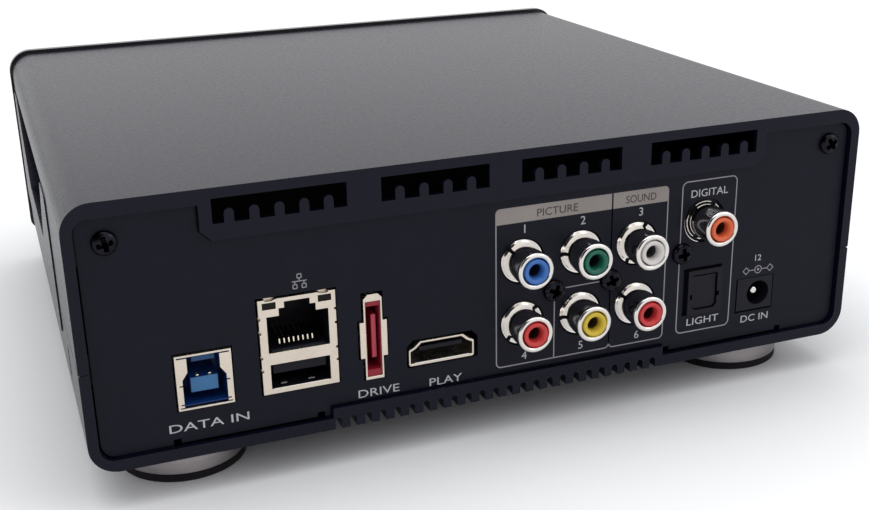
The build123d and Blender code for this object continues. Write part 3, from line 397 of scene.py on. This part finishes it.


# takes over from the imported sleeve and insert; the hole wall is the lining's colour darkened, painted shade
# down the bore
def newJack(jack, bm, centre, reach):
    sleeve = newPiece(jack + ".sleeve", bm, finish["nickel"])
    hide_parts(jack + "_sleeve")
    bm = bmesh.new()
    addLining(bm, centre, liningSize, reach)
    lining = newPiece(jack + ".lining", bm, finish[jack])
    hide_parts(jack + "_insert")
    # the lining's colour darkened, painted shade inside the bore
    holeShadeTone = tuple(0.012 + 0.1 * c for c in insertColours[jack])
    bm = bmesh.new()
    addHole(bm, centre, liningSize, reach)
    newPiece(jack + ".hole", bm, plastic(jack + "Depth", holeShadeTone, 0.6, 0.2, 1500, 0.000004, 0.1))


for jack, plan in jacks.items():
    centre = spot(plan["at"][0], 0, plan["at"][1])
    bm = bmesh.new()
    addSleeve(bm, centre, jackSize, jackSize["reach"])
    addFlange(bm, centre, jackSize, plan["slits"])
    newJack(jack, bm, centre, jackSize["reach"])

# the digital jack has two thin rings in place of a flange, the outer one only part of the way round
digitalJack = {"at": (-49.95, 33.95), "reach": 6.25, "innerRing": 4.45, "outerRing": 5.2, "wide": 0.3,
               "ringFace": -1.4, "innerParts": ((10.9, 12.7), (1.3, 6.7), (7.3, 10.3)),
               "outerParts": ((6.5, 9.25),)}
centre = spot(digitalJack["at"][0], 0, digitalJack["at"][1])
bm = bmesh.new()
addSleeve(bm, centre, jackSize, digitalJack["reach"])
wide = digitalJack["wide"] / 2
high = digitalJack["ringFace"]
low = jackSize["root"]
for key in ("inner", "outer"):
    ring = digitalJack[key + "Ring"]
    profile = [(ring - wide, low), (ring + wide, low), (ring + wide, high - wide), (ring + wide / 2, high),
               (ring - wide / 2, high), (ring - wide, high - wide)]
    for part in digitalJack[key + "Parts"]:
        addRingPart(bm, centre, profile, *part)
newJack("digital_orange", bm, centre, digitalJack["reach"])
print("phono jacks turned")


rearScrews = {"places": [(82.1, 47.85), (-82.4, 48.3), (-11.95, 23.0), (-26.0, 23.25), (-44.3, 26.7)],
              "radius": 2.5, "height": 1.6, "seat": 1.2, "slotLong": 1.95, "slotWide": 0.52, "slotDeep": 1.15,
              "turns": (12, 35, -20, 20, 8)}


# domed head on a short skirt
def addPanHead(bm, centre, plan):
    radius = plan["radius"]
    high = plan["height"]
    seat = -plan["seat"]
    skirt = 0.45
    profile = [(radius - 0.15, seat - 0.05), (radius, seat + 0.15), (radius, seat + skirt)]
    for degrees in range(15, 76, 15):
        turn = math.radians(degrees)
        profile.append((radius * math.cos(turn), seat + skirt + (high - skirt) * math.sin(turn)))
    profile += [(0.0, seat + high)]
    addLathe(bm, centre, profile, steps=40)


# a tapered cross that the boolean takes out of a head
def crossCutter(centre, plan, turn):
    bm = bmesh.new()
    top = -plan["seat"] + plan["height"] + 0.1
    size = (plan["slotLong"] * 0.002, plan["slotDeep"] * 0.001, plan["slotWide"] * 0.002)
    place = centre + Vector((0, top - plan["slotDeep"] / 2, 0)) * 0.001
    for angle in (0, 90):
        made = bmesh.ops.create_cube(bm, size=1.0)["verts"]
        bmesh.ops.scale(bm, vec=size, verts=made)
        for vert in made:
            if vert.co.y < 0:
                vert.co.x *= 0.45
                vert.co.z *= 0.8
        spun = Matrix.Rotation(math.radians(turn + angle), 3, "Y")
        bmesh.ops.rotate(bm, cent=(0, 0, 0), matrix=spun, verts=made)
        bmesh.ops.translate(bm, vec=place, verts=made)
    mesh = bpy.data.meshes.new("cutter")
    bm.to_mesh(mesh)
    bm.free()
    return mesh


# takes cutter meshes out of a piece, and keeps only the result
def cutAway(piece, cutters):
    for mesh in cutters:
        cutter = bpy.data.objects.new("cutter", mesh)
        bpy.context.scene.collection.objects.link(cutter)
        mod = piece.modifiers.new("Cut", "BOOLEAN")
        mod.operation = "DIFFERENCE"
        mod.solver = "EXACT"
        mod.use_self = True
        mod.object = cutter
        bpy.context.view_layer.update()
        shape = bpy.data.meshes.new_from_object(piece.evaluated_get(bpy.context.evaluated_depsgraph_get()))
        piece.modifiers.clear()
        shape.materials.clear()
        shape.materials.append(piece.data.materials[0])
        piece.data = shape
        bpy.data.objects.remove(cutter)


for number, (place, turn) in enumerate(zip(rearScrews["places"], rearScrews["turns"])):
    centre = spot(place[0], 0, place[1])
    bm = bmesh.new()
    addPanHead(bm, centre, rearScrews)
    head = newPiece("rearScrew." + str(number + 1), bm, finish["screw"], smooth=50)
    cutAway(head, [crossCutter(centre, rearScrews, turn)])
    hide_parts("rear_screws")
print("screw heads cut")


# one piece from blocks given as (x0, x1), (inset0, inset1), (up0, up1) in millimetres
def blocksPiece(name, key, blocks, easing=0.05):
    bm = bmesh.new()
    for sides, insets, ups in blocks:
        a = spot(min(sides), max(insets), min(ups))
        b = spot(max(sides), min(insets), max(ups))
        addBlock(bm, a, b, easing)
    return newPiece(name, bm, finish[key])


# a bent strip of spring metal along a path of (inset, up) points
def addSpring(bm, x, wide, thick, path):
    rings = []
    for k, (inset, up) in enumerate(path):
        before = path[max(k - 1, 0)]
        after = path[min(k + 1, len(path) - 1)]
        along = Vector((after[0] - before[0], after[1] - before[1])).normalized()
        side = Vector((-along.y, along.x)) * thick / 2
        rings.append([bm.verts.new(spot(x + dx, inset + side.x * turn, up + side.y * turn))
                      for dx, turn in ((-wide / 2, -1), (wide / 2, -1), (wide / 2, 1), (-wide / 2, 1))])
    faces = [bm.faces.new(rings[0]), bm.faces.new(rings[-1])]
    for near, far in zip(rings, rings[1:]):
        for k in range(4):
            faces.append(bm.faces.new((near[k], near[(k + 1) % 4], far[(k + 1) % 4], far[k])))
    bmesh.ops.recalc_face_normals(bm, faces=faces)


# from one distance to another off the middle of a socket
def across(plan, first, last):
    return (plan["x"] + first, plan["x"] + last)


network = {"x": 46.0, "contacts": 8, "pitch": 1.0, "wire": 0.26, "thick": 0.2,
           "bend": ((3.5, 20.3), (3.55, 20.7), (3.75, 21.2), (4.3, 21.5), (6.0, 21.7), (10.5, 21.8)),
           "lamp": (4.45, 7.15), "lampDepth": (1.0, 1.3), "lampUp": (29.3, 30.65),
           "sillHalf": 5.7, "sillDepth": (1.4, 2.4), "sillUp": (19.0, 19.75)}
bm = bmesh.new()
for number in range(network["contacts"]):
    x = network["x"] + network["pitch"] * (number - (network["contacts"] - 1) / 2)
    addSpring(bm, x, network["wire"], network["thick"], network["bend"])
newPiece("networkContacts", bm, finish["brightGold"])
near, far = network["lamp"]
lampWindows = [(across(network, side * near, side * far), network["lampDepth"], network["lampUp"])
               for side in (-1, 1)]
blocksPiece("networkLamps", "lampDark", lampWindows, 0.05)
# the front of the network socket's floor, in a lighter copy of the moulding as painted light
half = network["sillHalf"]
networkSill = [(across(network, -half, half), network["sillDepth"], network["sillUp"])]
blocksPiece("networkSill", "litSill", networkSill, 0.08)

host = {"x": 46.0, "springs": (3.3, -2.6), "springWide": 1.3, "springThick": 0.12,
        "arch": ((2.6, 11.5), (2.8, 11.75), (3.1, 11.9), (3.6, 11.9), (4.1, 11.7), (4.8, 11.5)),
        "lipHalf": 5.9, "lipDepth": (0.75, 1.15), "lipUp": (11.42, 11.68),
        "contacts": (-3.4, -1.2, 1.0, 3.2), "contactHalf": 0.5, "contactDepth": (3.6, 8.0),
        "contactUp": (14.4, 14.62)}
bm = bmesh.new()
for dx in host["springs"]:
    addSpring(bm, host["x"] + dx, host["springWide"], host["springThick"], host["arch"])
newPiece("hostSprings", bm, finish["dullSteel"])
# a real flared lip under the host mouth, paler than its tin: painted highlight
half = host["lipHalf"]
hostLip = [(across(host, -half, half), host["lipDepth"], host["lipUp"])]
blocksPiece("hostLip", "lipHighlight", hostLip, 0.08)
half = host["contactHalf"]
hostContacts = [(across(host, dx - half, dx + half), host["contactDepth"], host["contactUp"])
                for dx in host["contacts"]]
blocksPiece("hostContacts", "gold", hostContacts)

dataPort = {"x": 65.85, "faceDepth": (1.84, 2.0), "low": (-2.8, 2.7), "lowUp": (13.6, 16.75),
            "high": (-2.45, 2.15), "highUp": (20.35, 21.65), "contacts": (-1.3, 1.2), "contactHalf": 0.3,
            "contactDepth": (2.2, 3.4), "contactUp": (16.75, 17.2)}
# the tongue faces are lighter copies of the socket blue, painted light on their lit fronts
for name, key, end in (("dataTongueLow", "skyBlue", "low"), ("dataTongueHigh", "midBlue", "high")):
    tongue = [(across(dataPort, *dataPort[end]), dataPort["faceDepth"], dataPort[end + "Up"])]
    blocksPiece(name, key, tongue, 0.06)
half = dataPort["contactHalf"]
dataContacts = [(across(dataPort, dx - half, dx + half), dataPort["contactDepth"], dataPort["contactUp"])
                for dx in dataPort["contacts"]]
blocksPiece("dataContacts", "brightGold", dataContacts, 0.12)

drivePort = {"x": 30.0, "tongue": (-0.8, 0.15), "tongueDepth": (1.82, 2.0), "tongueUp": (14.25, 24.05)}
# the tongue's front in a lighter copy of the socket red, painted light
driveTongue = [(across(drivePort, *drivePort["tongue"]), drivePort["tongueDepth"], drivePort["tongueUp"])]
blocksPiece("driveTongue", "paintedLitRed", driveTongue, 0.08)

avPort = {"x": 14.85, "perSide": 9, "pitch": 0.5, "wireHalf": 0.12, "wireDepth": (4.4, 6.5),
          "wireUp": (14.02, 14.14), "lipHalf": 6.3, "lipDepth": (0.55, 1.0), "lipUp": (11.48, 11.8)}
half = avPort["wireHalf"]
steps = [avPort["pitch"] * k for k in range(-avPort["perSide"], avPort["perSide"] + 1)]
avContacts = [(across(avPort, dx - half, dx + half), avPort["wireDepth"], avPort["wireUp"]) for dx in steps]
blocksPiece("avContacts", "dullSteel", avContacts, 0.0)
# a real flared lip under the AV socket's mouth, paler than its tin: painted highlight
half = avPort["lipHalf"]
avLip = [(across(avPort, -half, half), avPort["lipDepth"], avPort["lipUp"])]
blocksPiece("avLip", "lipHighlight", avLip, 0.08)
print("socket insides added")


# print on the rear panel: how far it lies off the paint, how thick it is, and how wide its lines are
ink = {"lift": 0.015, "overHeader": 0.05, "thick": 0.03, "line": 0.26}
# each word with its middle in x and up, its height and its width
words = [
    ("DATA IN", 65.6, 6.5, 1.8, 16.4),
    ("DRIVE", 29.2, 6.5, 1.8, 9.2),
    ("PLAY", 13.85, 6.2, 1.8, 7.6),
    ("1", -4.9, 38.3, 1.9, None),
    ("2", -18.9, 38.3, 1.9, None),
    ("3", -33.3, 38.3, 1.9, None),
    ("4", -4.9, 8.55, 1.9, None),
    ("5", -18.9, 8.55, 1.9, None),
    ("6", -33.3, 8.55, 1.9, None),
    ("DIGITAL", -50.9, 40.6, 1.75, 9.6),
    ("LIGHT", -50.9, 9.2, 1.75, 8.6),
    ("DC IN", -65.4, 7.4, 1.75, 7.6),
    ("12", -65.3, 22.6, 1.5, None),
]
headerWords = [("PICTURE", -12.7, 41.5, 1.75, 9.8), ("SOUND", -33.2, 41.5, 1.75, 7.6)]


def panelPoint(x, up, lift):
    return spot(x, case["panelInset"] - lift, up)


# letters as flat solids, read from behind, centred on a point of the panel
def addWord(bm, word, x, up, height, width, lift=ink["lift"]):
    curve = bpy.data.curves.new("word", "FONT")
    curve.body = word
    curve.size = 1.0
    curve.extrude = 0.01
    curve.resolution_u = 3
    curve.align_x = "CENTER"
    holder = bpy.data.objects.new("word", curve)
    bpy.context.scene.collection.objects.link(holder)
    bpy.context.view_layer.update()
    mesh = bpy.data.meshes.new_from_object(holder.evaluated_get(bpy.context.evaluated_depsgraph_get()))
    bpy.data.objects.remove(holder)
    xs = [v.co.x for v in mesh.vertices]
    ys = [v.co.y for v in mesh.vertices]
    tall = max(ys) - min(ys)
    middle = (max(ys) + min(ys)) / 2
    centre = (max(xs) + min(xs)) / 2
    scaleY = height * 0.001 / tall
    scaleX = width * 0.001 / (max(xs) - min(xs)) if width else scaleY
    place = Matrix.Translation(panelPoint(x, up, lift + ink["thick"] / 2))
    turn = Matrix(((-1, 0, 0, 0), (0, 0, 1, 0), (0, 1, 0, 0), (0, 0, 0, 1)))
    fit = Matrix.Diagonal((scaleX, scaleY, ink["thick"] * 0.05, 1))
    mesh.transform(place @ turn @ fit @ Matrix.Translation((-centre, -middle, 0)))
    bm.from_mesh(mesh)
    bpy.data.meshes.remove(mesh)


# an outline with its own radius at each corner: right top, left top, left bottom, right bottom in x and up
def cornered(x0, x1, z0, z1, radii, steps=6):
    points = []
    corners = ((x1, z1, -1, -1, 0), (x0, z1, 1, -1, 90), (x0, z0, 1, 1, 180), (x1, z0, -1, 1, 270))
    for (x, z, inX, inZ, start), radius in zip(corners, radii):
        if not radius:
            points.append((x, z))
            continue
        for step in range(steps + 1):
            turn = math.radians(start + 90 * step / steps)
            points.append((x + radius * (inX + math.cos(turn)), z + radius * (inZ + math.sin(turn))))
    return points


# gives faces that lie on the panel the thickness of ink
def thicken(bm, faces):
    for face in faces:
        face.normal_update()
        if face.normal.y < 0:
            face.normal_flip()
    grown = bmesh.ops.extrude_face_region(bm, geom=faces)["geom"]
    bmesh.ops.translate(bm, vec=(0, ink["thick"] * 0.001, 0),
                        verts=[g for g in grown if isinstance(g, bmesh.types.BMVert)])


def addFlat(bm, outline, lift=ink["lift"]):
    thicken(bm, [bm.faces.new([bm.verts.new(panelPoint(x, up, lift)) for x, up in outline])])


# a printed line of even width through points, open or closed
def addTrack(bm, path, width=ink["line"], closed=False):
    count = len(path)
    left = []
    right = []
    for k, (x, up) in enumerate(path):
        before = path[k - 1] if closed or k else path[0]
        after = path[(k + 1) % count] if closed or k < count - 1 else path[-1]
        along = Vector((after[0] - before[0], after[1] - before[1])).normalized()
        side = Vector((-along.y, along.x)) * width / 2
        left.append(bm.verts.new(panelPoint(x + side.x, up + side.y, ink["lift"])))
        right.append(bm.verts.new(panelPoint(x - side.x, up - side.y, ink["lift"])))
    faces = []
    for k in range(count if closed else count - 1):
        nxt = (k + 1) % count
        faces.append(bm.faces.new((left[k], left[nxt], right[nxt], right[k])))
    thicken(bm, faces)


bm = bmesh.new()
for word in words:
    addWord(bm, *word)
newPiece("printedWords", bm, finish["word"])

# the boxes round the phono jacks, open above under their headers, and round the two digital sockets
boxes = {"left": 1.83, "middle": -26.07, "right": -40.1, "low": 6.6, "headerLow": 39.85, "high": 43.3,
         "radius": 1.1, "headerGap": 0.2, "digital": (-58.0, -43.8, 6.8, 43.6, 1.3),
         "inner": (((-12.2, 21.0), (-12.2, 6.6)), ((-14.9, 23.1), (-23.3, 23.2)))}


# the sides and the rounded bottom of a box, from its top left to its top right in x
def openBox(x0, x1, low, high, radius):
    path = cornered(x0, x1, low, high, (0, 0, radius, radius))
    return path[1:] + path[:1]


bm = bmesh.new()
for x0, x1 in ((boxes["middle"], boxes["left"]), (boxes["right"], boxes["middle"])):
    addTrack(bm, openBox(x0, x1, boxes["low"], boxes["headerLow"], boxes["radius"]))
x0, x1, low, high, radius = boxes["digital"]
addTrack(bm, cornered(x0, x1, low, high, (radius,) * 4), closed=True)
for line in boxes["inner"]:
    addTrack(bm, line)
newPiece("printedBoxes", bm, finish["rule"])

bm = bmesh.new()
edge = ink["line"] / 2
top = boxes["high"] + edge
radius = boxes["radius"]
for x0, x1, radii in ((boxes["middle"] + boxes["headerGap"], boxes["left"] + edge, (radius, 0, 0, 0)),
                      (boxes["right"] - edge, boxes["middle"] - boxes["headerGap"], (0, radius, 0, 0))):
    addFlat(bm, cornered(x0, x1, boxes["headerLow"], top, radii))
newPiece("printedHeaders", bm, finish["header"])
bm = bmesh.new()
for word in headerWords:
    addWord(bm, *word, ink["overHeader"])
newPiece("headerWords", bm, finish["headerWord"])

# painted shadow: a dark strip laid on the panel along the groove under the upper rim and round its apron
seam = {"rim": 53.0, "side": 84.4, "half": 64.35, "low": 45.5, "cut": 2.25, "line": 0.3}
bm = bmesh.new()
halfSeam = [(seam["side"], seam["rim"]), (seam["half"], seam["rim"]),
            (seam["half"], seam["low"] + seam["cut"]), (seam["half"] - seam["cut"], seam["low"])]
addTrack(bm, halfSeam + [(-x, up) for x, up in reversed(halfSeam)], seam["line"])
newPiece("seamShade", bm, finish["seamShadowPaint"])

# three small boxes over the network socket, joined by lines
bm = bmesh.new()
sign = {"x": 45.1, "up": 34.2, "box": 0.85, "corner": 0.12, "line": 0.2,
        "boxes": ((0, 1.15), (0.95, -1.05), (-0.95, -1.05)),
        "lines": ((-1.55, 0.05, 1.55, 0.05), (0, 0.16, 0, 0.62), (-0.95, -0.06, -0.95, -0.52),
                  (0.95, -0.06, 0.95, -0.52))}
half = sign["box"] / 2
corners = (sign["corner"],) * 4
for dx, dz in sign["boxes"]:
    x = sign["x"] + dx
    z = sign["up"] + dz
    addTrack(bm, cornered(x - half, x + half, z - half, z + half, corners, 3), sign["line"], True)
for x0, z0, x1, z1 in sign["lines"]:
    addTrack(bm, [(sign["x"] + x0, sign["up"] + z0), (sign["x"] + x1, sign["up"] + z1)], sign["line"])

# a ring round a dot, between two small diamonds, over the power socket
polarity = {"x": -65.5, "up": 19.6, "ring": 0.9, "dot": 0.32, "away": 3.3, "half": 0.85, "line": 0.2,
            "diamondLine": 0.26}
x = polarity["x"]
z = polarity["up"]
for key in ("ring", "dot"):
    r = polarity[key]
    outline = cornered(x - r, x + r, z - r, z + r, (r * 0.99,) * 4)
    if key == "ring":
        addTrack(bm, outline, polarity["line"], True)
    else:
        addFlat(bm, outline)
for side in (-1, 1):
    tip = x + side * polarity["away"]
    half = polarity["half"]
    start = x + side * (polarity["ring"] + 0.12)
    addTrack(bm, [(start, z), (tip - side * (half + 0.1), z)], polarity["line"])
    diamond = [(tip - half, z), (tip, z + half), (tip + half, z), (tip, z - half)]
    addTrack(bm, diamond, polarity["diamondLine"], True)
newPiece("printedSigns", bm, finish["rule"])
print("panel printed")


# pale matt floor that reads a little lighter to the camera in the open; the lift fades with ambient
# occlusion, a painted contact shadow under the case
def floorMaterial(name, look):
    mat, tree, shader = newMaterial(name)
    shader.inputs["Roughness"].default_value = 0.9
    shader.inputs["Specular IOR Level"].default_value = 0.1
    low = tuple(c * 0.985 for c in look["colour"])
    tree.links.new(ramp(tree, noise(tree, 3, 3), low, look["colour"]), shader.inputs["Base Color"])
    shader.inputs["Emission Color"].default_value = (0.96, 0.98, 1.0, 1)
    path = tree.nodes.new("ShaderNodeLightPath")
    # ambient occlusion cuts the camera lift: painted contact shadow under the case
    openness = tree.nodes.new("ShaderNodeAmbientOcclusion")
    openness.samples = 16
    openness.inputs["Distance"].default_value = look["reach"]
    deepened = tree.nodes.new("ShaderNodeMath")
    deepened.operation = "POWER"
    deepened.inputs[1].default_value = look["deepen"]
    tree.links.new(openness.outputs["AO"], deepened.inputs[0])
    seen = tree.nodes.new("ShaderNodeMath")
    seen.operation = "MULTIPLY"
    seen.inputs[1].default_value = look["lift"]
    tree.links.new(path.outputs["Is Camera Ray"], seen.inputs[0])
    lift = tree.nodes.new("ShaderNodeMath")
    lift.operation = "MULTIPLY"
    tree.links.new(seen.outputs["Value"], lift.inputs[0])
    tree.links.new(deepened.outputs["Value"], lift.inputs[1])
    tree.links.new(lift.outputs["Value"], shader.inputs["Emission Strength"])
    return mat


# a flat square of the given size and material, not attached to any body
def stageSheet(name, cuts, half, material):
    bm = bmesh.new()
    bmesh.ops.create_grid(bm, x_segments=cuts, y_segments=cuts, size=half)
    mesh = bpy.data.meshes.new(name)
    bm.to_mesh(mesh)
    bm.free()
    mesh.materials.append(material)
    flat = bpy.data.objects.new(name, mesh)
    bpy.context.scene.collection.objects.link(flat)
    return flat


# turns a lamp or a card at a place to face a target
def aimed(holder, place, target):
    holder.location = place
    holder.rotation_euler = (Vector(target) - Vector(place)).to_track_quat("-Z", "Y").to_euler()


floorLook = {"half": 4.0, "colour": (0.86, 0.865, 0.875), "lift": 0.3, "reach": 0.06, "deepen": 2.6}
stageSheet("floor", 2, floorLook["half"], floorMaterial("paleFloor", floorLook))

# a dark card over the viewer's left shoulder, there only for the bright metal to mirror
card = {"place": (0.48, 0.5, 0.53), "half": 0.5, "aim": (-0.02, 0.08, 0.03)}
cardBlack = plastic("cardBlack", (0.012, 0.012, 0.014), 0.9, 0.05, 60, 0.0001)
darkCard = stageSheet("darkCard", 1, card["half"], cardBlack)
aimed(darkCard, card["place"], card["aim"])
darkCard.visible_camera = False
darkCard.visible_diffuse = False
darkCard.visible_shadow = False

# the world lights the scene at a plain level and reads white to the camera and in mirrors
worldLook = {"colour": (0.98, 0.98, 1.0, 1), "plain": 0.62, "seen": 1.0}
world = bpy.data.worlds.new("studio")
bpy.context.scene.world = world
world.use_nodes = True
tree = world.node_tree
background = tree.nodes["Background"]
background.inputs["Color"].default_value = worldLook["colour"]
path = tree.nodes.new("ShaderNodeLightPath")
white = tree.nodes.new("ShaderNodeMath")
white.operation = "MAXIMUM"
tree.links.new(path.outputs["Is Camera Ray"], white.inputs[0])
tree.links.new(path.outputs["Is Glossy Ray"], white.inputs[1])
level = tree.nodes.new("ShaderNodeMapRange")
level.inputs["To Min"].default_value = worldLook["plain"]
level.inputs["To Max"].default_value = worldLook["seen"]
tree.links.new(white.outputs["Value"], level.inputs["Value"])
tree.links.new(level.outputs["Result"], background.inputs["Strength"])


lamps = {"overhead": {"place": (0.15, 0.1, 1.3), "size": 1.2, "power": 7.0},
         "rightFill": {"place": (-1.1, 0.9, 0.9), "size": 0.7, "power": 2.5}}
for name, plan in lamps.items():
    lamp = bpy.data.lights.new(name, "AREA")
    lamp.energy = plan["power"]
    lamp.size = plan["size"]
    holder = bpy.data.objects.new(name, lamp)
    aimed(holder, plan["place"], (0, 0, 0.03))
    bpy.context.scene.collection.objects.link(holder)

# the photograph's viewpoint
view = {"place": (0.09957, 0.30259, 0.13178), "forward": (-0.32915, -0.87927, -0.34429),
        "right": (-0.93363, 0.35763, -0.02078), "lens": 50.34}
forward = Vector(view["forward"]).normalized()
right = Vector(view["right"])
right = (right - forward * right.dot(forward)).normalized()
up = right.cross(forward)
lens = bpy.data.cameras.new("photoView")
lens.lens = view["lens"]
lens.sensor_width = 36.0
lens.sensor_fit = "HORIZONTAL"
lens.clip_start = 0.01
camera = bpy.data.objects.new("photoView", lens)
camera.matrix_world = Matrix(((right.x, up.x, -forward.x, view["place"][0]),
                              (right.y, up.y, -forward.y, view["place"][1]),
                              (right.z, up.z, -forward.z, view["place"][2]),
                              (0, 0, 0, 1)))
bpy.context.scene.collection.objects.link(camera)
bpy.context.scene.camera = camera
bpy.context.scene.view_settings.view_transform = "Standard"
print("stage, lamps and camera set")
